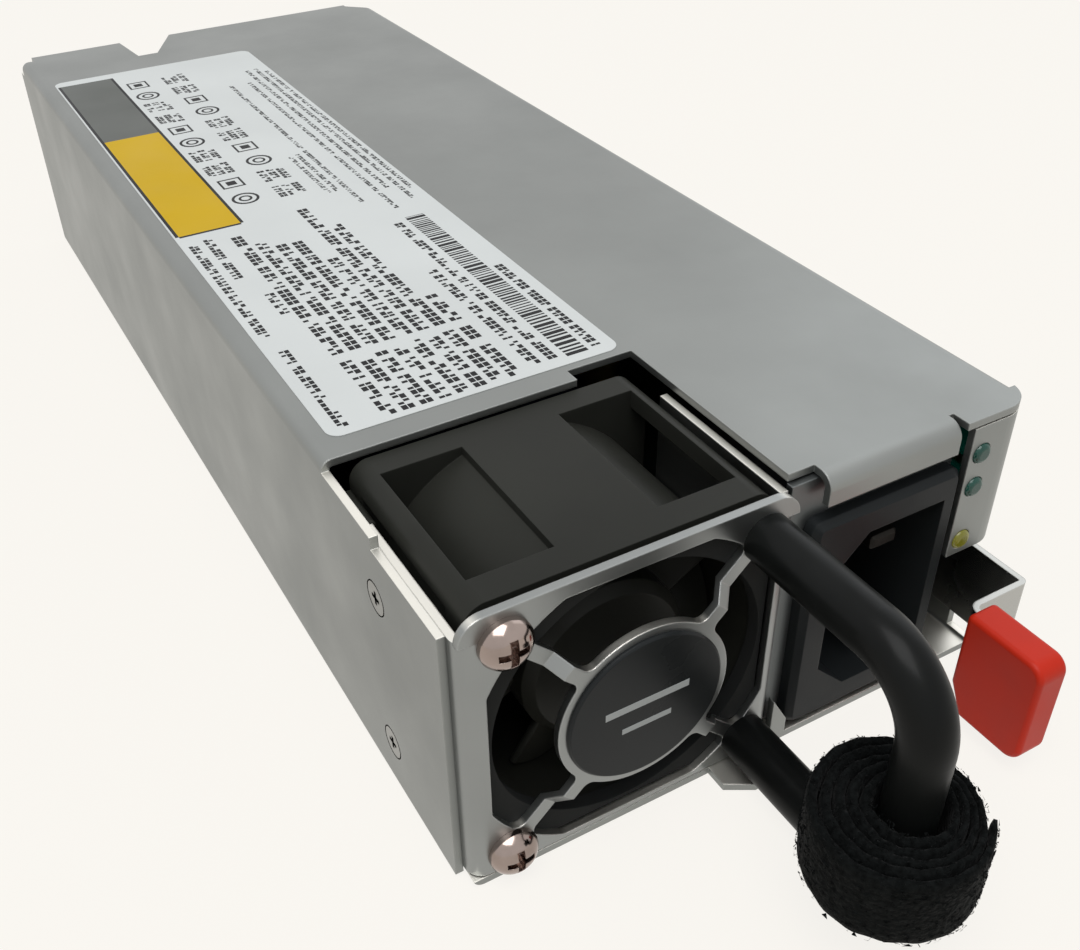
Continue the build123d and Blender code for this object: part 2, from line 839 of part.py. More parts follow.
def leaf_outer():
    """The leaf's face towards the wall."""
    return wall_in - leaf_gap


def leaf_middle():
    """Height of the leaf's centre line."""
    return (leaf_low + leaf_high) / 2


def rivet_heights():
    """Heights of the two rivets that hold the leaf."""
    quarter = (leaf_high - leaf_low) / 4
    return [leaf_middle() - quarter, leaf_middle() + quarter]


def latch_leaf():
    """Spring steel leaf: straight along the wall, then a jog inwards and a tongue for the grip."""
    outer = leaf_outer()
    tip = front - leaf_reach
    inner = outer - leaf_jog
    path = [(inner, tip - tongue_length), (inner, tip), (outer, tip), (outer, front + leaf_pivot + leaf_tail)]
    section = make_face(offset(FilletPolyline(*path, radius=leaf_bend), amount=leaf, side=Side.LEFT))
    strip = along_z(section, leaf_low, leaf_high)
    over = cut_over + leaf_bend
    tongue_low = leaf_low + tongue_margin
    tongue_high = leaf_high - tongue_margin
    for low, high in ((leaf_low - cut_over, tongue_low), (tongue_high, leaf_high + cut_over)):
        strip -= block(inner - over, inner + over, tip - tongue_length - cut_over, tip - leaf_bend, low, high)
    for z in rivet_heights():
        strip -= round_x(outer - 2 * leaf, outer + leaf, front + leaf_pivot, z, rivet_radius + rivet_play)
    return strip


def latch_grip():
    """Red moulded grip pushed over the leaf's tongue."""
    middle = leaf_outer() - leaf_jog - leaf / 2
    back = front - leaf_reach - leaf_bend - slip
    nose = back - grip_length
    side = Polyline((back, grip_top), (back, grip_bottom + 2 * grip_corner),
                    (back - grip_corner, grip_bottom), (nose, grip_bottom), (nose, grip_top), close=True)
    face = make_face(side)
    tips = face.vertices().group_by(Axis.X)[0]
    body = along_x(fillet(tips, grip_corner), middle - grip_thickness / 2, middle + grip_thickness / 2)
    body = fillet(body.edges(), grip_round)
    tongue = front - leaf_reach - tongue_length
    body -= block(middle - leaf / 2 - slip, middle + leaf / 2 + slip, tongue - slip, back + cut_over,
                  leaf_low + tongue_margin - slip, leaf_high - tongue_margin + slip)
    return body


def latch_hook():
    """Steel catch on the leaf: a ramp towards the rear and a square face towards the front."""
    outer = leaf_outer()
    start = front + hook_from_front
    peak = right + hook_rise
    wedge = outline((outer, start), (peak, start), (peak, start + hook_flat),
                    (right, start + hook_length), (outer, start + hook_length))
    half = hook_height / 2
    return along_z(wedge, leaf_middle() - half, leaf_middle() + half)


def latch_rivets():
    """Two rivets that hold the leaf's root to the side wall."""
    rivets = []
    y = front + leaf_pivot
    inner = leaf_outer() - leaf - leaf_gap
    for z in rivet_heights():
        rivets.append(turned_x(
            y, z,
            (inner - rivet_head_thickness, 0),
            (inner - rivet_head_thickness, rivet_head - rivet_head_thickness / 2),
            (inner, rivet_head),
            (inner, rivet_radius),
            (right, rivet_radius),
            (right, rivet_head),
            (right + rivet_head_thickness, rivet_head / 2),
            (right + rivet_head_thickness, 0),
        ))
    return Compound(children=rivets)


def rear_panel():
    """Perforated rear sheet with a slot for the card edge, bent forward along the floor."""
    outer = rear - panel_set
    top = case_height - sheet - seam
    path = [(outer - rear_panel_foot, floor_z), (outer, floor_z), (outer, top)]
    section = bent(path, bend)
    side = bend - sheet + slip
    panel = along_x(section, left + 2 * sheet + side, wall_in - side)
    vents = Sketch()
    middle = (left + right + sheet) / 2
    for row in range(vent_rows):
        z = top - vent_top_margin - row * vent_pitch * sqrt(3) / 2
        columns = vent_columns - row % 2
        for column in range(columns):
            x = middle + (column - (columns - 1) / 2) * vent_pitch
            vents += Pos(x, z) * Rot(0, 0, 30) * RegularPolygon(vent_radius, 6)
    panel -= along_y(vents, outer - 2 * sheet, outer + cut_over)
    half = edge_width / 2 + slot_gap
    panel -= block(edge_shift - half, edge_shift + half, outer - 2 * sheet, outer + cut_over,
                   board_low - slot_gap, board_top + slot_gap)
    key_left = fan_x + key_from_fan - key_step
    panel -= block(key_left, key_left + key_floor + key_slant + key_step, outer - 2 * sheet,
                   outer + cut_over, case_height - sheet - 2 * seam - lip_drop / 2, case_height)
    return panel


def standoff_places():
    """The board's four fixing points."""
    xs = (board_left + hole_inset, board_right - hole_inset)
    ys = (board_front + hole_inset, board_rear - hole_rear_inset)
    return [(x, y) for x in xs for y in ys]


def main_board():
    """The main board with its card edge."""
    tongue_left = edge_shift - edge_width / 2
    tongue_right = edge_shift + edge_width / 2
    tip = rear + edge_reach
    step = board_rear - rear_panel_foot
    face = outline(
        (board_left, board_front), (board_right, board_front), (board_right, step),
        (tongue_right, step), (tongue_right, tip), (tongue_left, tip), (tongue_left, step),
        (board_left, step))
    for x, y in standoff_places():
        face -= Pos(x, y) * Circle(board_screw_radius + 2 * slip)
    return along_z(face, board_low, board_top)


def edge_contacts():
    """Gold fingers on both faces of the card edge."""
    fingers = []
    tip = rear + edge_reach - finger_inset
    for index in range(finger_count):
        x = edge_shift + (index - (finger_count - 1) / 2) * finger_pitch
        for low in (board_top, board_low - finger_thickness):
            fingers.append(block(x - finger_width / 2, x + finger_width / 2, tip - finger_length, tip,
                                 low, low + finger_thickness))
    return Compound(children=fingers)


def standoffs():
    """Threaded posts pressed into the floor."""
    posts = []
    for x, y in standoff_places():
        ring = RegularPolygon(standoff_radius, 6) - Circle(board_screw_radius + slip)
        posts.append(along_z(Pos(x, y) * ring, floor_z, board_low))
    return Compound(children=posts)


def board_screws():
    """Screws that hold the board to its posts."""
    screws = []
    for x, y in standoff_places():
        low = floor_z + slip
        high = board_top + board_screw_head_thickness
        screws.append(turned_z(
            x, y, (0, low), (board_screw_radius, low), (board_screw_radius, board_top),
            (board_screw_head, board_top), (board_screw_head - board_screw_head_thickness / 2, high),
            (0, high)))
    return Compound(children=screws)


def insulation_sheet():
    """Thin sheet between the board and the floor."""
    face = outline(
        (board_left, board_front), (board_right, board_front),
        (board_right, board_rear - 2 * rear_panel_foot), (board_left, board_rear - 2 * rear_panel_foot))
    for x, y in standoff_places():
        face -= Pos(x, y) * Circle(standoff_radius + liner_gap)
    return along_z(face, floor_z, floor_z + liner)


def bulk_capacitors():
    """Two large cans lying side by side behind the fan."""
    cans = []
    start = board_front + can_start
    z = board_top + can_radius + rest
    for index in range(2):
        x = board_left + can_side_gap + can_radius + index * (2 * can_radius + can_gap)
        cans.append(turned_y(
            x, z, (0, start), (can_radius - can_crimp, start), (can_radius, start + can_crimp),
            (can_radius, start + can_groove),
            (can_radius - can_crimp / 2, start + can_groove + can_crimp / 2),
            (can_radius, start + can_groove + can_crimp), (can_radius, start + can_length - can_crimp / 2),
            (can_radius - can_crimp / 2, start + can_length), (0, start + can_length)))
    return Compound(children=cans)


def ring_choke(x, y, radius, bore, height):
    """A wound ring lying flat on the board."""
    edge = (radius - bore) / 4
    section = Pos((radius + bore) / 2, board_top + rest + height / 2) * RectangleRounded(
        radius - bore, height, edge)
    return Pos(x, y, 0) * revolve(Plane.XZ * section, Axis.Z)


def column_right():
    """Centre line of the parts behind the inlet."""
    return board_right - column_gap - pfc_radius


def pfc_choke():
    """Large ring choke behind the filter."""
    y = board_front + line_cap_size[1] + 2 * line_choke_radius + 3 * can_gap + pfc_radius
    return ring_choke(column_right(), y, pfc_radius, pfc_bore, pfc_height)


def line_choke():
    """Mains filter choke behind the inlet."""
    y = board_front + line_cap_size[1] + 2 * can_gap + line_choke_radius
    return ring_choke(column_right(), y, line_choke_radius, line_choke_bore, line_choke_height)


def line_capacitor():
    """Box film capacitor of the mains filter."""
    wide, long, high = line_cap_size
    x = column_right()
    y = board_front + line_cap_in
    box = block(x - wide / 2, x + wide / 2, y, y + long, board_top + rest, board_top + rest + high)
    return fillet(box.edges().group_by(Axis.Z)[-1], line_cap_round)


def second_row():
    """Where the row behind the large cans starts."""
    return board_front + can_start + can_length + 2 * can_gap


def transformer():
    """Ferrite core of the main transformer round its windings."""
    x = board_left + core_gap + core_length / 2
    y = second_row() + core_width / 2
    z = board_top + rest + core_height / 2
    core = Box(core_length, core_width, core_height)
    window = core_length / 2 - core_leg
    for side in (-1, 1):
        core -= Pos(side * (core_leg + window) / 2, 0, 0) * Box(
            window - core_leg, core_width + 2 * cut_over, core_height - 2 * core_leg)
    coil = RectangleRounded(2 * window - 2 * seam, core_width + 2 * winding_proud, core_leg)
    core += Pos(0, 0, -core_height / 2 + core_leg) * extrude(coil, amount=core_height - 2 * core_leg)
    return Pos(x, y, z) * core


def heatsink(x, y):
    """Extruded sink: an upright wall with fins to one side."""
    fins = Rectangle(sink_base, sink_height)
    step = (sink_height - sink_fin) / (sink_fins - 1)
    for index in range(sink_fins):
        level = -sink_height / 2 + sink_fin / 2 + index * step
        fins += Pos(sink_base / 2 + sink_fin_reach / 2, level) * Rectangle(sink_fin_reach, sink_fin)
    z = board_top + rest + sink_height / 2
    return along_y(Pos(x, z) * fins, y, y + sink_length)


def primary_heatsink():
    """Sink of the mains side switches."""
    return heatsink(board_right - sink_side - sink_pitch, second_row() + sink_start)


def secondary_heatsink():
    """Sink of the output side switches."""
    return heatsink(board_right - sink_side, second_row() + sink_start)


def output_row():
    """Centre line of the row of small cans."""
    return second_row() + sink_length + out_can_gap + 2 * out_can_radius


def output_capacitors():
    """A row of small cans before the card edge."""
    cans = []
    y = output_row()
    for index in range(out_can_count):
        x = edge_shift + (index - (out_can_count - 1) / 2) * out_can_pitch
        low = board_top + rest
        high = low + out_can_height
        cans.append(turned_z(
            x, y, (0, low), (out_can_radius, low), (out_can_radius, high - out_can_bevel),
            (out_can_radius - out_can_bevel, high), (0, high)))
    return Compound(children=cans)


def control_board():
    """Upright board with the control chips, standing on the main board."""
    y = output_row() + out_can_radius + control_gap
    card = block(edge_shift - control_width / 2, edge_shift + control_width / 2, y, y + board,
                 board_top + rest, board_top + rest + control_height)
    for index in range(control_chips):
        x = edge_shift + (index - (control_chips - 1) / 2) * control_width / control_chips
        card += block(x - chip_size[0] / 2, x + chip_size[0] / 2, y - chip_size[1], y,
                      board_top + chip_lift, board_top + chip_lift + chip_size[2])
    return card


def screw_set(places):
    """Countersunk screws at the given places."""
    return Compound(children=[flush_screw(*place) for place in places])


nodes = {
    "chassis_base": chassis_base(),
    "top_cover": top_cover(),
    "front_panel": front_panel(),
    "rear_panel": rear_panel(),
    "fan_plate": fan_plate(),
    "fan_disc": fan_disc(),
    "fan_gasket": fan_gasket(),
    "fan_frame": fan_frame(),
    "fan_rotor": fan_rotor(),
    "fan_magnet": fan_magnet(),
    "fan_shaft": fan_shaft(),
    "fan_bearings": fan_bearings(),
    "fan_stator": fan_stator(),
    "fan_screws": fan_screws(),
    "fan_clip": fan_clip(),
    "wall_screws": screw_set(wall_screw_places()),
    "cover_screws": screw_set(cover_screw_places()),
    "handle": handle(),
    "strap": strap(),
    "inlet_body": inlet_body(),
    "inlet_pins": inlet_pins(),
    "lamp_board": lamp_board(),
    "latch_leaf": latch_leaf(),
    "latch_grip": latch_grip(),
    "latch_hook": latch_hook(),
    "latch_rivets": latch_rivets(),
    "main_board": main_board(),
    "edge_contacts": edge_contacts(),
    "standoffs": standoffs(),
    "board_screws": board_screws(),
    "insulation_sheet": insulation_sheet(),
    "bulk_capacitors": bulk_capacitors(),
    "pfc_choke": pfc_choke(),
    "line_choke": line_choke(),
    "line_capacitor": line_capacitor(),
    "transformer": transformer(),
    "primary_heatsink": primary_heatsink(),
    "secondary_heatsink": secondary_heatsink(),
    "output_capacitors": output_capacitors(),
    "control_board": control_board(),
}
for name, height in zip(("lamp_input", "lamp_output", "lamp_fault"), lamp_heights()):
    nodes[name] = light_pipe(height)

for name, shape in nodes.items():
    export_step(shape, f"parts/{name}.step")
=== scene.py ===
import json
import math
import random

import bmesh
import bpy
from mathutils import Matrix, Vector

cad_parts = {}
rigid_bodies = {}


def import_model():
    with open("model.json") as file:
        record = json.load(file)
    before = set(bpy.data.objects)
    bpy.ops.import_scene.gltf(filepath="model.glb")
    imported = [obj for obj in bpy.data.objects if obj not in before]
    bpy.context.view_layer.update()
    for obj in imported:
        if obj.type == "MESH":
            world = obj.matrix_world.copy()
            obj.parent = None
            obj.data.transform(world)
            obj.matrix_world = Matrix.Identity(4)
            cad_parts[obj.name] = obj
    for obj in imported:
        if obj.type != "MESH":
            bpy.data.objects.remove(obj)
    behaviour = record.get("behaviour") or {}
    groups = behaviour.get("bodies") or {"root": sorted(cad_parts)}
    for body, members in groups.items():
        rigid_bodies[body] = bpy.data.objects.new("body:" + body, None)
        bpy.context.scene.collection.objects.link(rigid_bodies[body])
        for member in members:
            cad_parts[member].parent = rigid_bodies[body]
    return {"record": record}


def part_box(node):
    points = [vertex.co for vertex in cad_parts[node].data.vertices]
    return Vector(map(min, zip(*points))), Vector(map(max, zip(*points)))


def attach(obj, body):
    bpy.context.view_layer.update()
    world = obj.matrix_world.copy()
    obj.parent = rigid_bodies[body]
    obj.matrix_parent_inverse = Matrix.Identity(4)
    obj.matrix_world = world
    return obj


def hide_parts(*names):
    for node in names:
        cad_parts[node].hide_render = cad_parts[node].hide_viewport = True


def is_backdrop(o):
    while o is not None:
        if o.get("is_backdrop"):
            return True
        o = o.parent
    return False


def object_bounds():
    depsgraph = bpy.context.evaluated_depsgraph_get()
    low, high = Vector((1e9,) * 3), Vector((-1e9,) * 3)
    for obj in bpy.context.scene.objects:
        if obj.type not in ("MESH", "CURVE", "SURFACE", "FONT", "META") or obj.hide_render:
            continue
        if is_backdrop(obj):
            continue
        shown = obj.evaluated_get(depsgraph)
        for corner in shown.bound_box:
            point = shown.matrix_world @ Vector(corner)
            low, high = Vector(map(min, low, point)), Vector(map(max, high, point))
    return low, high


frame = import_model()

# A hot swap server power supply, in metres. +Z up, the fan and inlet face -Y.
cad_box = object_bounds()
mm = 0.001

# Camera at the photograph's view
camera_place = Vector((-71.7, -174.3, 118.7)) * mm
camera_forward = Vector((0.389, 0.706, -0.592))
camera_right = Vector((0.869, -0.494, -0.018))
camera_near = 10 * mm
focal_px = 1220.0
photo_size = (1080, 950)
principal_px = (525.2, 472.1)
sensor_mm = 36.0

# Boxes of the model's nodes that the pieces made here sit on
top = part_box("top_cover")[1][2]
disc_low, disc_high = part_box("fan_disc")
strap_low, strap_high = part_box("strap")
handle_low, handle_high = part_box("handle")
wall_screws_low, wall_screws_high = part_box("wall_screws")
cover_screws_low, cover_screws_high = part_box("cover_screws")
fan_screws_low, fan_screws_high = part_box("fan_screws")

# How far the label and all marks stand out of their ground; they sink in as deep
label_rise = 0.06 * mm
ink_rise = 0.02 * mm

# Label on the cover and its two colour fields, in millimetres
label_left = -35.9
label_right = 3.6
label_front = -63.6
label_rear = 78.8
label_corner = 1.8
field_left = -35.1
field_right = -25.5
field_line = 0.5
yellow_front = -2.4
yellow_rear = 42.0
grey_rear = 76.0

# Rows of plain blocks on the label, in millimetres: place across, front end and rear end
side_rows = ((-34.9, -38, -6), (-32.4, -20, -5), (-30.4, -33, -25), (-34.2, -62, -42))
fine_rows = ((-10.0, 1, 19), (-8.6, 1, 19), (-6.9, -5, 59), (-3.2, -10, 59), (-1.2, -2, 66),
             (0.6, -8, 66), (2.1, -4, 64))

# Table of block rows in two columns, in millimetres: where the first ends and the second starts,
# and where each row's second column ends
table_left = -28.6
table_pitch = 2.4
table_front = -62.5
table_middle = (-48, -46.5)
table_ends = (-6, -10, -12, -12, -21, -1, -10, -38)

# Plain bars and plain marks on the label, in millimetres
bar_widths = (0.25, 0.4, 0.7)
bar_gaps = (0.3, 0.45)
mark_lines = (-21.8, -14.6)
mark_count = 10
mark_front = 6
mark_pitch = 7
print_seed = 11

# Plain bars on the disc, in millimetres from its centre: left, right, low and high
disc_bars = ((-5.4, 5.4, 0.6, 1.6), (-3.2, 3.2, -2.6, -1.8))

# Flush screws: head radius, rim and cross recess
flush_head = 2.2 * mm
rim_width = 0.14 * mm
recess_reach = 0.9 * mm
recess_width = 0.45 * mm

# Cross recess of the pan head screws, and the place of its painted shade behind the head's crown
pan_reach = 1.35 * mm
pan_width = 0.62 * mm
pan_depth = 1.95 * mm

# Cells in a drawn ring
mark_steps = 20
rim_steps = 28

# Rolled strap: the centre of its turns drifts from the rod's to that of the ring that it replaces
strap_turns = 4.89
strap_end = 2 * math.pi * strap_turns
strap_start = 3.75 * mm
strap_pitch = 1.12 * mm
strap_fullness = 0.93
strap_margin = 0.25 * mm
strap_steps = 420
strap_rows = 12
rod_radius = (handle_high[0] - handle_low[0]) / 2
rod_centre = Vector(((handle_low[0] + handle_high[0]) / 2, handle_low[1] + rod_radius))
roll_centre = Vector(((strap_low[0] + strap_high[0]) / 2, (strap_low[1] + strap_high[1]) / 2))

# The strap's loose end, its sag, and its waves: height, rate and start of each
lift_length = 0.4
strap_lift = 0.15 * mm
strap_sag = 0.8 * mm
sag_mean = 0.55
sag_swing = 0.45
sag_turn = 0.5
side_waves = ((0.07 * mm, 3.1, 1.3), (0.05 * mm, 5.3, 0.0))
height_waves = ((0.16 * mm, 1.7, 0.0), (0.07 * mm, 6.1, 0.7))

# Lumps along the strap's edges, and how the cloth thins there
lump_height = 0.11 * mm
lump_rate = 17
lump_lean = 4
lump_power = 4
edge_thinning = 0.5
edge_power = 8

# Loose fibres on the strap's edges and outer face: out and spread are shares of the cloth's
# thickness, and the middle and end values are shares of what the whole fibre reaches
fibre_seed = 5
fibre_count = 3600
fibre_half_width = 0.05 * mm
edge_fibre_share = 0.55
upper_fibre_share = 0.7
edge_fibre_start = 0.6 * math.pi
edge_fibre_lift = (0.12 * mm, 0.42 * mm)
edge_fibre_spread = 0.4
face_fibre_margin = 0.4 * mm
face_fibre_out = 0.45
face_fibre_lift = 0.35 * mm
face_fibre_spread = (0.12, 0.34)
fibre_drift = 0.04
fibre_middle = 0.7
fibre_middle_width = 0.8
fibre_end_spread = 0.6
fibre_end_lift = 0.9

# Floor just under the base, and soft light
floor_half = 4.0
floor_drop = 0.1 * mm
floor_color = (0.68, 0.61, 0.505)
floor_roughness = 0.9
floor_glow_color = (1.0, 0.98, 0.94)
floor_glow = 0.86
sky_color = (0.95, 0.98, 1.0)
sky_strength = 0.36
fill_color = (0.9, 0.95, 1.0)

# Painted highlight on edges that look up, such as cut edges, in the case's sheet only under the cover's
# face
cut_highlight_tone = (0.78, 0.76, 0.7)
cut_highlight_fade = 0.3 * mm
cover_highlight_below = top - 0.6 * mm

# Settings and sockets of the shader nodes
bevel_samples = 4
mix_ground = 6
mix_color = 7
mix_result = 2


class Shader:
    """A node material with a principled shader, and helpers that add detail to it."""

    def __init__(self, name, color, metallic=0.0, values=()):
        self.material = bpy.data.materials.new(name)
        self.material.use_nodes = True
        self.nodes = self.material.node_tree.nodes
        self.links = self.material.node_tree.links
        self.shader = self.nodes["Principled BSDF"]
        self.place = self.nodes.new("ShaderNodeTexCoord").outputs["Object"]
        self.normal = None
        self.tone = None
        self.shader.inputs["Base Color"].default_value = (*color, 1)
        self.shader.inputs["Metallic"].default_value = metallic
        for key, value in dict(values).items():
            self.shader.inputs[key].default_value = value

    def noise(self, scale, detail=3.0, stretch=(1, 1, 1)):
        """Noise between 0 and 1, in object coordinates scaled along each axis."""
        mapping = self.nodes.new("ShaderNodeMapping")
        mapping.inputs["Scale"].default_value = stretch
        self.links.new(self.place, mapping.inputs["Vector"])
        noise = self.nodes.new("ShaderNodeTexNoise")
        noise.inputs["Scale"].default_value = scale
        noise.inputs["Detail"].default_value = detail
        self.links.new(mapping.outputs["Vector"], noise.inputs["Vector"])
        return noise.outputs["Fac"]

    def spread(self, amount, low, high, start=0.3, end=0.7):
        """A value from low to high while the input goes from start to end, for noise mostly 0.3 to 0.7."""
        span = self.nodes.new("ShaderNodeMapRange")
        for name, value in zip(("From Min", "From Max", "To Min", "To Max"), (start, end, low, high)):
            span.inputs[name].default_value = value
        self.links.new(amount, span.inputs["Value"])
        return span.outputs["Result"]

    def over(self, mask, color, ground=None):
        """A colour where the mask is 1, over a plain ground or over the base colour so far."""
        mix = self.nodes.new("ShaderNodeMix")
        mix.data_type = "RGBA"
        if ground:
            mix.inputs[mix_ground].default_value = (*ground, 1)
        else:
            self.links.new(self.tone, mix.inputs[mix_ground])
        mix.inputs[mix_color].default_value = (*color, 1)
        self.links.new(mask, mix.inputs["Factor"])
        self.tone = mix.outputs[mix_result]
        self.links.new(self.tone, self.shader.inputs["Base Color"])

    def mottle(self, amount, dark, light):
        """Base colour that drifts between two tones."""
        self.over(self.spread(amount, 0, 1), light, ground=dark)

    def rough(self, amount, low, high):
        """Roughness that varies between two values."""
        self.links.new(self.spread(amount, low, high), self.shader.inputs["Roughness"])

    def bump(self, height, distance, strength=1.0):
        """Fine relief, added to any relief there is."""
        bump = self.nodes.new("ShaderNodeBump")
        bump.inputs["Distance"].default_value = distance
        bump.inputs["Strength"].default_value = strength
        self.links.new(height, bump.inputs["Height"])
        if self.normal:
            self.links.new(self.normal, bump.inputs["Normal"])
        self.normal = bump.outputs["Normal"]
        self.links.new(self.normal, self.shader.inputs["Normal"])

    def bevel(self, radius):
        """Normals rounded over the edges."""
        bevel = self.nodes.new("ShaderNodeBevel")
        bevel.samples = bevel_samples
        bevel.inputs["Radius"].default_value = radius
        return bevel.outputs["Normal"]

    def soft_edges(self, radius):
        """Edges that look rounded."""
        self.normal = self.bevel(radius)
        self.links.new(self.normal, self.shader.inputs["Normal"])

    def edge_mask(self, radius, gain):
        """A mask that is the gain on edges and 0 on flat faces."""
        geometry = self.nodes.new("ShaderNodeNewGeometry")
        dot = self.nodes.new("ShaderNodeVectorMath")
        dot.operation = "DOT_PRODUCT"
        self.links.new(self.bevel(radius), dot.inputs[0])
        self.links.new(geometry.outputs["Normal"], dot.inputs[1])
        return self.spread(dot.outputs["Value"], gain, 0.0, start=0.9, end=0.995)

    def height_of(self, vector):
        """The Z of a vector."""
        split = self.nodes.new("ShaderNodeSeparateXYZ")
        self.links.new(vector, split.inputs["Vector"])
        return split.outputs["Z"]

    def up_highlight_mask(self, below):
        """A mask for a painted highlight: 1 on faces that look up and lie under a height, such as cut
        edges.
        """
        facing = self.nodes.new("ShaderNodeTexCoord").outputs["Normal"]
        looks_up = self.spread(self.height_of(facing), 0, 1, start=0.7, end=0.95)
        lies_low = self.spread(self.height_of(self.place), 1, 0, start=below - cut_highlight_fade, end=below)
        both = self.nodes.new("ShaderNodeMath")
        both.operation = "MULTIPLY"
        self.links.new(looks_up, both.inputs[0])
        self.links.new(lies_low, both.inputs[1])
        return both.outputs["Value"]


def scaled(color, factor):
    """A colour made lighter or darker."""
    return tuple(min(1.0, value * factor) for value in color)


def sheet_metal(name, color, grain=(1, 1, 1), roughness=(0.36, 0.5), highlight_below=None):
    """Galvanised or plated sheet: soft mottling, fine rolled grain, faint marks, lighter edges that are
    partly wear and partly painted highlight, and a painted highlight on cut edges that look up.
    """
    made = Shader(name, color, metallic=1.0)
    made.soft_edges(radius=0.25 * mm)
    made.mottle(made.noise(scale=38, detail=4), scaled(color, 0.93), scaled(color, 1.06))
    made.rough(made.noise(scale=60, detail=5), *roughness)
    # Lighter edges all round: partly edge wear, partly a painted highlight on folds and edges
    made.over(made.edge_mask(radius=0.3 * mm, gain=0.5), scaled(color, 1.5))
    # Painted highlight on faces that look up under a height, such as the cut edges
    if highlight_below:
        made.over(made.up_highlight_mask(highlight_below), cut_highlight_tone)
    made.bump(made.noise(scale=700, stretch=grain), distance=0.012 * mm, strength=0.55)
    made.bump(made.noise(scale=900, detail=2), distance=0.006 * mm, strength=0.5)
    made.bump(made.noise(scale=14, detail=2), distance=0.18 * mm, strength=0.16)
    return made.material


def moulded(name, color, roughness=(0.38, 0.55), grain=1400, depth=0.012 * mm, gloss=0.12):
    """Moulded plastic with a fine texture."""
    made = Shader(name, color, values={"Specular IOR Level": gloss})
    made.soft_edges(radius=0.2 * mm)
    made.mottle(made.noise(scale=60), scaled(color, 0.85), scaled(color, 1.15))
    made.rough(made.noise(scale=120, detail=4), *roughness)
    made.bump(made.noise(scale=grain, detail=2), distance=depth, strength=0.6)
    return made.material


def polished(name, color, roughness=(0.12, 0.26)):
    """Bright plated metal with faint stains."""
    made = Shader(name, color, metallic=1.0)
    made.soft_edges(radius=0.15 * mm)
    made.mottle(made.noise(scale=300, detail=4), scaled(color, 0.8), color)
    made.rough(made.noise(scale=500, detail=4), *roughness)
    made.bump(made.noise(scale=1500, detail=2), distance=0.006 * mm, strength=0.5)
    return made.material


def coated_rod(name, color):
    """Satin black coating with orange peel."""
    coat = {"Specular IOR Level": 0.1, "Coat Weight": 0.04, "Coat Roughness": 0.16}
    made = Shader(name, color, values=coat)
    made.mottle(made.noise(scale=90), scaled(color, 0.7), scaled(color, 1.4))
    made.rough(made.noise(scale=200, detail=4), 0.3, 0.42)
    made.bump(made.noise(scale=420, detail=2), distance=0.03 * mm, strength=0.5)
    made.bump(made.noise(scale=1600, detail=2), distance=0.006 * mm, strength=0.5)
    return made.material


def clear_lens(name, color, glow):
    """Tinted clear plastic with a faint painted glow in its own colour."""
    clear = {"Transmission Weight": 0.35, "IOR": 1.49,
             "Emission Color": (*color, 1), "Emission Strength": glow}
    made = Shader(name, color, values=clear)
    made.mottle(made.noise(scale=400, detail=2), scaled(color, 0.7), color)
    made.rough(made.noise(scale=500, detail=2), 0.12, 0.25)
    made.bump(made.noise(scale=900, detail=2), distance=0.01 * mm, strength=0.4)
    return made.material


def cloth(name, color):
    """Black hook-and-loop cloth: a looped pile with a soft sheen."""
    soft = {"Specular IOR Level": 0.06, "Sheen Weight": 0.03, "Sheen Roughness": 0.4}
    made = Shader(name, color, values=soft)
    pile = made.noise(scale=1500, detail=4)
    made.mottle(pile, scaled(color, 0.5), scaled(color, 2.2))
    made.rough(made.noise(scale=800), 0.85, 1.0)
    made.bump(pile, distance=0.35 * mm, strength=0.9)
    made.bump(made.noise(scale=420), distance=0.4 * mm, strength=0.7)
    return made.material


def printed_paper(name, color):
    """Smooth printed label stock."""
    made = Shader(name, color, values={"Specular IOR Level": 0.15})
    made.mottle(made.noise(scale=50), scaled(color, 0.96), scaled(color, 1.02))
    made.rough(made.noise(scale=90), 0.42, 0.55)
    made.bump(made.noise(scale=1200, detail=2), distance=0.004 * mm, strength=0.5)
    return made.material


def wound_wire(name, color):
    """Enamelled wire wound in close turns."""
    made = Shader(name, color, metallic=0.8)
    made.mottle(made.noise(scale=200), scaled(color, 0.7), scaled(color, 1.2))
    made.rough(made.noise(scale=300), 0.3, 0.45)
    made.bump(made.noise(scale=900, detail=2, stretch=(1, 1, 0.1)), distance=0.1 * mm, strength=0.8)
    return made.material


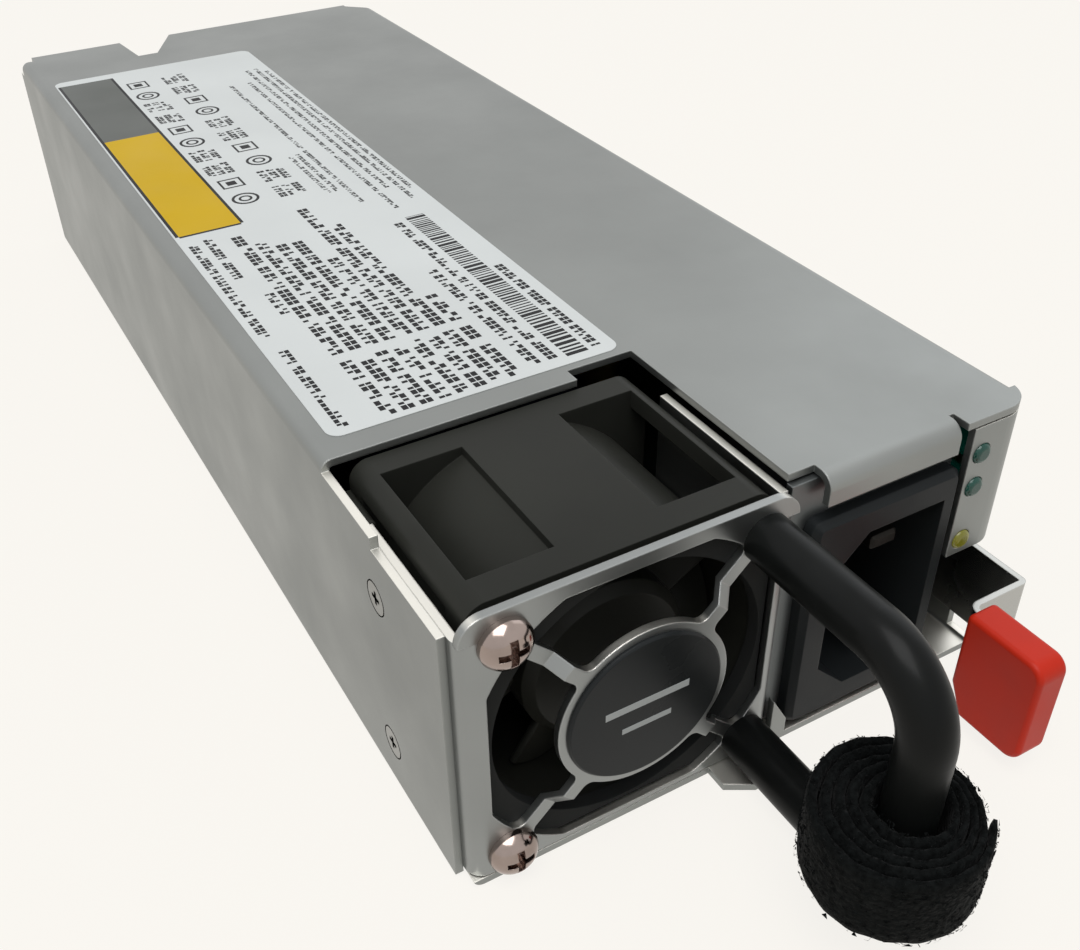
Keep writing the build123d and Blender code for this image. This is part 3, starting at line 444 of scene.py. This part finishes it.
def record_materials():
    """One finished material for each of the record's slots."""
    return {
        "case_steel": sheet_metal("case_steel", (0.262, 0.271, 0.262), (1, 0.12, 1), highlight_below=cover_highlight_below),
        # The front panel is the plate's steel made darker: painted shade for the panel round the inlet
        "panel_steel": sheet_metal("panel_steel", (0.16, 0.17, 0.17), (1, 1, 0.2)),
        "plate_steel": sheet_metal(
            "plate_steel", (0.285, 0.295, 0.29), (1, 1, 0.2), (0.3, 0.42), highlight_below=top),
        "bright_screw": polished("bright_screw", (0.36, 0.29, 0.26), (0.1, 0.22)),
        "flush_screw": sheet_metal("flush_screw", (0.3, 0.3, 0.285), roughness=(0.32, 0.44)),
        "fan_plastic": moulded("fan_plastic", (0.022, 0.0225, 0.019), (0.36, 0.5)),
        "disc_black": moulded("disc_black", (0.016, 0.018, 0.019), (0.25, 0.36), 900, 0.006 * mm),
        "gasket_rubber": moulded("gasket_rubber", (0.018, 0.019, 0.019), (0.7, 0.85)),
        "magnet": moulded("magnet", (0.08, 0.075, 0.07), (0.4, 0.6)),
        "bearing_steel": polished("bearing_steel", (0.7, 0.7, 0.7)),
        "stator_copper": wound_wire("stator_copper", (0.5, 0.22, 0.1)),
        "handle_black": coated_rod("handle_black", (0.0045, 0.005, 0.0048)),
        "strap_fabric": cloth("strap_fabric", (0.0035, 0.004, 0.004)),
        "inlet_black": moulded("inlet_black", (0.013, 0.015, 0.016), (0.35, 0.5)),
        # The pins get a near-black colour: painted shade for metal pins deep in the inlet's shadow
        "pin_metal": polished("pin_metal", (0.03, 0.028, 0.025), (0.5, 0.65)),
        # Both lenses get a faint painted glow through their emission
        "lamp_green": clear_lens("lamp_green", (0.0, 0.085, 0.06), glow=0.06),
        "lamp_amber": clear_lens("lamp_amber", (0.26, 0.25, 0.02), glow=0.12),
        "latch_steel": sheet_metal("latch_steel", (0.42, 0.42, 0.4), (1, 0.1, 1), (0.2, 0.3)),
        "grip_red": moulded("grip_red", (0.55, 0.024, 0.008), (0.36, 0.48), 900, 0.01 * mm, gloss=0.2),
        "board_green": moulded("board_green", (0.015, 0.12, 0.05), (0.3, 0.4)),
        "contact_gold": polished("contact_gold", (0.83, 0.6, 0.25)),
        "standoff_metal": polished("standoff_metal", (0.55, 0.54, 0.5)),
        "liner_sheet": moulded("liner_sheet", (0.6, 0.6, 0.56), (0.4, 0.5)),
        "can_sleeve": moulded("can_sleeve", (0.02, 0.02, 0.05), (0.2, 0.3)),
        "choke_core": wound_wire("choke_core", (0.4, 0.17, 0.06)),
        "film_box": moulded("film_box", (0.03, 0.03, 0.032), (0.35, 0.45)),
        "ferrite": moulded("ferrite", (0.05, 0.05, 0.052), (0.5, 0.65)),
        "sink_metal": sheet_metal("sink_metal", (0.6, 0.61, 0.62), (1, 0.05, 1)),
    }


def print_materials():
    """Materials of the label, the marks, and the painted shade in the screw recesses with the dark rims
    round the flush heads.
    """
    return {
        "label_white": printed_paper("label_white", (0.66, 0.68, 0.67)),
        "label_yellow": printed_paper("label_yellow", (0.6, 0.38, 0.006)),
        "label_grey": printed_paper("label_grey", (0.118, 0.124, 0.115)),
        "label_ink": printed_paper("label_ink", (0.012, 0.012, 0.013)),
        "recess_shade_and_joints": moulded("recess_shade_and_joints", (0.035, 0.034, 0.032)),
        "disc_ink": printed_paper("disc_ink", (0.42, 0.45, 0.46)),
    }


def dress(materials):
    """Gives every node of the model the finished material of its slot."""
    for part in frame["record"]["subparts"]:
        node = bpy.data.objects[part["node"]]
        for place in node.material_slots:
            place.material = materials[part["material_slot"]]


def mesh_of(name, build):
    """A mesh made by a function that fills a bmesh."""
    work = bmesh.new()
    build(work)
    bmesh.ops.recalc_face_normals(work, faces=work.faces)
    mesh = bpy.data.meshes.new(name)
    work.to_mesh(mesh)
    work.free()
    return mesh


def piece(name, build, material, body="case"):
    """A new piece that rides on a body, with a mesh that a function fills."""
    made = bpy.data.objects.new(name, mesh_of(name, build))
    bpy.context.scene.collection.objects.link(made)
    made.data.materials.append(material)
    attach(made, body)
    return made


def bridge(work, first, second):
    """Faces between two closed rings of corners."""
    for index in range(len(first)):
        after = (index + 1) % len(first)
        work.faces.new((first[index], second[index], second[after], first[after]))


def plate(work, outline, axis, near, far):
    """A closed plate at right angles to an axis: 0 for X, 1 for Y, 2 for Z."""
    ends = []
    for depth in (near, far):
        points = [[*corner[:axis], depth, *corner[axis:]] for corner in outline]
        ends.append([work.verts.new(point) for point in points])
    work.faces.new(reversed(ends[0]))
    work.faces.new(ends[1])
    bridge(work, *ends)


def patch(work, outline, axis, face):
    """A thin printed or dark patch in a face."""
    plate(work, outline, axis, face - ink_rise, face + ink_rise)


def ink(work, left, right, front, rear):
    """A printed patch on the label; the places are in millimetres."""
    patch(work, rectangle(left * mm, right * mm, front * mm, rear * mm), 2, top + label_rise)


def rectangle(left, right, low, high):
    """The corners of a rectangle."""
    return [(left, low), (right, low), (right, high), (left, high)]


def rounded(left, right, low, high, radius, steps=8):
    """A rectangle's outline with round corners."""
    centres = [(right - radius, high - radius, 0), (left + radius, high - radius, 90),
               (left + radius, low + radius, 180), (right - radius, low + radius, 270)]
    points = []
    for x, y, start in centres:
        for index in range(steps + 1):
            turn = math.radians(start + 90 * index / steps)
            points.append((x + radius * math.cos(turn), y + radius * math.sin(turn)))
    return points


def ring_cells(first, second, outer, inner, steps):
    """The corners of each cell of a flat ring round a point."""
    for index in range(steps):
        turns = [2 * math.pi * (index + side) / steps for side in (0, 1)]
        corners = zip((outer, outer, inner, inner), turns + turns[::-1])
        yield [(first + radius * math.cos(turn), second + radius * math.sin(turn))
               for radius, turn in corners]


def cross_of(first, second, reach, width):
    """The corners of an upright cross round a point."""
    half = width / 2
    steps = ((half, half), (half, reach), (-half, reach), (-half, half), (-reach, half), (-reach, -half),
             (-half, -half), (-half, -reach), (half, -reach), (half, -half), (reach, -half), (reach, half))
    return [(first + a, second + b) for a, b in steps]


def add_label(materials):
    """White label with plain colour fields, and rows of plain blocks in place of print."""
    def fill_sheet(work):
        edges = [edge * mm for edge in (label_left, label_right, label_front, label_rear)]
        plate(work, rounded(*edges, label_corner * mm), 2, top - label_rise, top + label_rise)

    def fill_field(front, rear):
        return lambda work: ink(work, field_left, field_right, front, rear)

    piece("label", fill_sheet, materials["label_white"])
    piece("label_yellow", fill_field(yellow_front, yellow_rear), materials["label_yellow"])
    piece("label_grey", fill_field(yellow_rear, grey_rear), materials["label_grey"])
    piece("label_print", fill_print, materials["label_ink"])


def row_of_blocks(work, dice, x, front, rear, height, share):
    """One printed row along Y: cells of plain small blocks in groups, which say nothing."""
    length = 0.3 * height
    width = 0.46 * height
    gap = 0.17 * height
    y = front
    while y < rear:
        for _ in range(dice.randint(3, 8)):
            if y + 2 * length > rear:
                return
            for across in (0, height - width):
                for along in (0, length):
                    if dice.random() < share:
                        ink(work, x + across, x + across + width, y + along, y + along + length)
            y += 2 * length + gap
        y += dice.uniform(0.3, 0.6) * height


def bar_field(work, dice, left, right, front, rear):
    """Upright bars of random width, which say nothing."""
    y = front
    while y < rear:
        width = dice.choice(bar_widths)
        ink(work, left, right, y, min(y + width, rear))
        y += width + dice.choice(bar_gaps)


def ring_mark(work, x, y, outer, inner):
    """A plain printed ring."""
    for cell in ring_cells(x * mm, y * mm, outer * mm, inner * mm, mark_steps):
        patch(work, cell, 2, top + label_rise)


def frame_mark(work, x, y, half, line):
    """A plain printed square frame."""
    for left, right, front, rear in ((-half, half, -half, line - half), (-half, half, half - line, half),
                                     (-half, line - half, line - half, half - line),
                                     (half - line, half, line - half, half - line)):
        ink(work, x + left, x + right, y + front, y + rear)


def fill_marks(work, dice):
    """Two lines of plain marks: rings, squares and small groups of blocks."""
    for column in range(mark_count):
        y = mark_front + mark_pitch * column
        for line, x in enumerate(mark_lines):
            form = (column + 2 * line) % 4
            if form == 0:
                ring_mark(work, x, y, outer=2.2, inner=1.75)
                ring_mark(work, x, y, outer=1.1, inner=0.7)
            elif form == 1:
                frame_mark(work, x, y, half=1.9, line=0.35)
                ink(work, x - 0.8, x + 0.8, y - 0.8, y + 0.8)
            else:
                for step in range(3):
                    left = x - 2.2 + 1.6 * step
                    row_of_blocks(work, dice, left, y - 2.6, y + 2.6, height=1.2, share=0.66)


def fill_print(work):
    """All the print on the label: lines, rows, bars and marks without meaning."""
    dice = random.Random(print_seed)
    for x in (field_left - field_line, field_right):
        ink(work, x, x + field_line, yellow_front, grey_rear)
    ink(work, field_left, field_right, yellow_front - field_line, yellow_front)
    for x, front, rear in side_rows:
        row_of_blocks(work, dice, x, front, rear, height=1.3, share=0.66)
    for index, end in enumerate(table_ends):
        x = table_left + table_pitch * index
        row_of_blocks(work, dice, x, table_front, table_middle[0], height=1.6, share=0.78)
        row_of_blocks(work, dice, x, table_middle[1], end, height=1.6, share=0.74)
    row_of_blocks(work, dice, -8.3, -61.5, -31, height=1.4, share=0.76)
    row_of_blocks(work, dice, -5.8, -61.5, -15, height=1.3, share=0.7)
    bar_field(work, dice, left=-3.4, right=-0.3, front=-62, rear=-14)
    row_of_blocks(work, dice, 0.5, -61.5, -35, height=1.3, share=0.8)
    for x, front, rear in fine_rows:
        row_of_blocks(work, dice, x, front, rear, height=0.75, share=0.62)
    fill_marks(work, dice)


def fill_disc_marks(work):
    """Two plain bars on the disc in place of print."""
    x = (disc_low[0] + disc_high[0]) / 2
    z = (disc_low[2] + disc_high[2]) / 2
    for left, right, low, high in disc_bars:
        outline = rectangle(x + left * mm, x + right * mm, z + low * mm, z + high * mm)
        patch(work, outline, 1, disc_low[1])


def screw_centres(low, high):
    """The centres of two flush screws, from the box round both, which is one head wide on one side."""
    for y in sorted({round(low[1] + flush_head, 6), round(high[1] - flush_head, 6)}):
        for z in sorted({round(low[2] + flush_head, 6), round(high[2] - flush_head, 6)}):
            yield y, z


def fill_flush_shade_and_rims(work):
    """Dark rims round the flush screws' heads in both side walls, and painted shade in their cross
    recesses.
    """
    for face, low, high in ((wall_screws_low[0], wall_screws_low, wall_screws_high),
                            (cover_screws_high[0], cover_screws_low, cover_screws_high)):
        for y, z in screw_centres(low, high):
            patch(work, cross_of(y, z, recess_reach, recess_width), 0, face)
            for cell in ring_cells(y, z, flush_head, flush_head - rim_width, rim_steps):
                patch(work, cell, 0, face)


def fill_pan_recess_shade(work):
    """Painted shade in the cross recesses of the two fan screws' heads."""
    radius = (fan_screws_high[0] - fan_screws_low[0]) / 2
    for z in (fan_screws_low[2] + radius, fan_screws_high[2] - radius):
        outline = cross_of(fan_screws_low[0] + radius, z, pan_reach, pan_width)
        patch(work, outline, 1, fan_screws_low[1] + pan_depth)


def waves(turn, table):
    """The sum of some waves, each with its height, rate and start."""
    return sum(height * math.sin(rate * turn + start) for height, rate, start in table)


def strap_point(turn, out, height):
    """A point of the rolled strap, with its place in the cloth's thickness from -0.5 to 0.5."""
    rounds = turn / (2 * math.pi)
    centre = rod_centre.lerp(roll_centre, rounds / strap_turns)
    aim = Vector((math.cos(turn), math.sin(turn)))
    thickness = (strap_pitch + (roll_centre - rod_centre).dot(aim) / strap_turns) * strap_fullness
    loose = max(0.0, turn - strap_end + lift_length) / lift_length
    shift = waves(turn, side_waves) + strap_lift * loose ** 2
    place = centre + (strap_start + strap_pitch * rounds + shift + out * thickness) * aim
    sag = strap_sag * rounds / strap_turns * (sag_mean - sag_swing * math.sin(turn - sag_turn))
    return Vector((place.x, place.y, height - sag))


def fill_strap(work):
    """The rolled strip as one closed band with a slightly wavy edge."""
    low = strap_low[2] + strap_margin
    width = strap_high[2] - strap_margin - low
    rings = []
    for step in range(strap_steps + 1):
        turn = strap_end * step / strap_steps
        ring = []
        for side in (-1, 1):
            for row in range(strap_rows + 1):
                share = row / strap_rows
                rise = share if side < 0 else 1 - share
                out = side / 2 * (1 - abs(2 * share - 1) ** edge_power * edge_thinning)
                lump = lump_height * math.sin(lump_rate * turn + lump_lean * side * rise)
                wave = waves(turn, height_waves) + lump * (2 * rise - 1) ** lump_power
                ring.append(work.verts.new(strap_point(turn, out, low + width * rise + wave)))
        rings.append(ring)
    for first, second in zip(rings, rings[1:]):
        bridge(work, first, second)
    work.faces.new(rings[0])
    work.faces.new(reversed(rings[-1]))


def fill_fibres(work):
    """Short loose fibres on the strap's outside and edges."""
    dice = random.Random(fibre_seed)
    for _ in range(fibre_count):
        on_edge = dice.random() < edge_fibre_share
        turn = dice.uniform(edge_fibre_start if on_edge else strap_end - 2 * math.pi, strap_end)
        if on_edge:
            upper = dice.random() < upper_fibre_share
            height = strap_high[2] - strap_margin if upper else strap_low[2] + strap_margin
            out = dice.uniform(-0.5, 0.5)
            lift = (1 if upper else -1) * dice.uniform(*edge_fibre_lift)
            spread = dice.uniform(-edge_fibre_spread, edge_fibre_spread)
        else:
            height = dice.uniform(strap_low[2] + face_fibre_margin, strap_high[2] - face_fibre_margin)
            out = face_fibre_out
            lift = dice.uniform(-face_fibre_lift, face_fibre_lift)
            spread = dice.uniform(*face_fibre_spread)
        middle_turn = turn + dice.uniform(-fibre_drift, fibre_drift)
        end_turn = turn + dice.uniform(-2 * fibre_drift, 2 * fibre_drift)
        start = strap_point(turn, out, height)
        middle = strap_point(middle_turn, out + spread * fibre_middle, height + lift * fibre_middle)
        end = strap_point(end_turn, out + spread * fibre_end_spread, height + lift * fibre_end_lift)
        aside = Vector([dice.uniform(-1, 1) for _ in range(3)]).normalized() * fibre_half_width
        near = aside * fibre_middle_width
        points = (start - aside, start + aside, middle + near, end, middle - near)
        work.faces.new([work.verts.new(point) for point in points])


def add_strap(materials):
    """The rolled hook-and-loop strap with its loose fibres."""
    fabric = materials["strap_fabric"]
    roll = piece("strap_roll", fill_strap, fabric)
    for face in roll.data.polygons:
        face.use_smooth = True
    fibres = piece("strap_fibres", fill_fibres, fabric)
    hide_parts("strap")


def seen_rays(tree, share):
    """The share for camera, glossy and transmission rays alike, and 0 for all others."""
    path = tree.nodes.new("ShaderNodeLightPath")
    total = path.outputs["Is Camera Ray"]
    for name in ("Is Glossy Ray", "Is Transmission Ray"):
        highest = tree.nodes.new("ShaderNodeMath")
        highest.operation = "MAXIMUM"
        tree.links.new(total, highest.inputs[0])
        tree.links.new(path.outputs[name], highest.inputs[1])
        total = highest.outputs["Value"]
    times = tree.nodes.new("ShaderNodeMath")
    times.operation = "MULTIPLY"
    times.inputs[1].default_value = share
    tree.links.new(total, times.inputs[0])
    return times.outputs["Value"]


def show_when_seen(tree, lit, seen, share, surface):
    """Mixes a share of a second shader into the first for the rays that see it."""
    mix = tree.nodes.new("ShaderNodeMixShader")
    tree.links.new(seen_rays(tree, share), mix.inputs["Fac"])
    tree.links.new(lit, mix.inputs[1])
    tree.links.new(seen, mix.inputs[2])
    tree.links.new(mix.outputs["Shader"], surface)


def add_floor():
    """A pale floor that keeps the object's shadow."""
    mesh = bpy.data.meshes.new("floor")
    corners = [(x, y, -floor_drop) for x, y in rectangle(-floor_half, floor_half, -floor_half, floor_half)]
    mesh.from_pydata(corners, [], [(0, 1, 2, 3)])
    floor = bpy.data.objects.new("floor", mesh)
    bpy.context.scene.collection.objects.link(floor)
    floor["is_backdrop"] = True
    material = bpy.data.materials.new("floor_pale")
    material.use_nodes = True
    mesh.materials.append(material)
    tree = material.node_tree
    matt = tree.nodes["Principled BSDF"]
    matt.inputs["Base Color"].default_value = (*floor_color, 1)
    matt.inputs["Roughness"].default_value = floor_roughness
    glow = tree.nodes.new("ShaderNodeEmission")
    glow.inputs["Color"].default_value = (*floor_glow_color, 1)
    surface = tree.nodes["Material Output"].inputs["Surface"]
    show_when_seen(tree, matt.outputs["BSDF"], glow.outputs["Emission"], floor_glow, surface)


def add_world():
    """Even soft light, and a white backdrop."""
    world = bpy.data.worlds.new("studio")
    bpy.context.scene.world = world
    world.use_nodes = True
    tree = world.node_tree
    light = tree.nodes["Background"]
    light.inputs["Color"].default_value = (*sky_color, 1)
    light.inputs["Strength"].default_value = sky_strength
    seen = tree.nodes.new("ShaderNodeBackground")
    seen.inputs["Color"].default_value = (1, 1, 1, 1)
    seen.inputs["Strength"].default_value = 1.0
    surface = tree.nodes["World Output"].inputs["Surface"]
    show_when_seen(tree, light.outputs["Background"], seen.outputs["Background"], 1.0, surface)


def add_lamp(name, place, target, size, power, color=(1, 1, 1)):
    """A square area lamp aimed at a point."""
    lamp = bpy.data.lights.new(name, "AREA")
    lamp.size = size
    lamp.energy = power
    lamp.color = color
    made = bpy.data.objects.new(name, lamp)
    made.location = place
    made.rotation_euler = (Vector(target) - Vector(place)).to_track_quat("-Z", "Y").to_euler()
    bpy.context.scene.collection.objects.link(made)


def add_camera():
    """The camera, from the fitted place and directions."""
    forward = camera_forward.normalized()
    right = (camera_right - camera_right.dot(forward) * forward).normalized()
    up = right.cross(forward)
    data = bpy.data.cameras.new("camera")
    data.sensor_width = sensor_mm
    data.lens = focal_px / photo_size[0] * sensor_mm
    data.shift_x = (photo_size[0] / 2 - principal_px[0]) / photo_size[0]
    data.shift_y = (principal_px[1] - photo_size[1] / 2) / photo_size[0]
    data.clip_start = camera_near
    camera = bpy.data.objects.new("camera", data)
    turned = Matrix((right, up, -forward)).transposed().to_4x4()
    camera.matrix_world = Matrix.Translation(camera_place) @ turned
    bpy.context.scene.collection.objects.link(camera)
    bpy.context.scene.camera = camera


materials = {**record_materials(), **print_materials()}
dress(materials)
add_label(materials)
piece("disc_marks", fill_disc_marks, materials["disc_ink"])
# Painted shade in the screws' cross recesses, with dark rims round the flush heads
piece("flush_shade_and_rims", fill_flush_shade_and_rims, materials["recess_shade_and_joints"])
piece("pan_recess_shade", fill_pan_recess_shade, materials["recess_shade_and_joints"])
add_strap(materials)
add_floor()
add_world()
add_lamp("key", place=(-0.3, -0.35, 1.15), target=(0, 0, 0), size=0.9, power=11.0)
add_lamp("fill", place=(0.8, 0.25, 0.6), target=(0, -0.05, 0.02), size=0.8, power=1.3, color=fill_color)
bpy.context.scene.view_settings.view_transform = "Standard"
add_camera()

[[list(map(float, corner)) for corner in box] for box in (cad_box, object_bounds())]
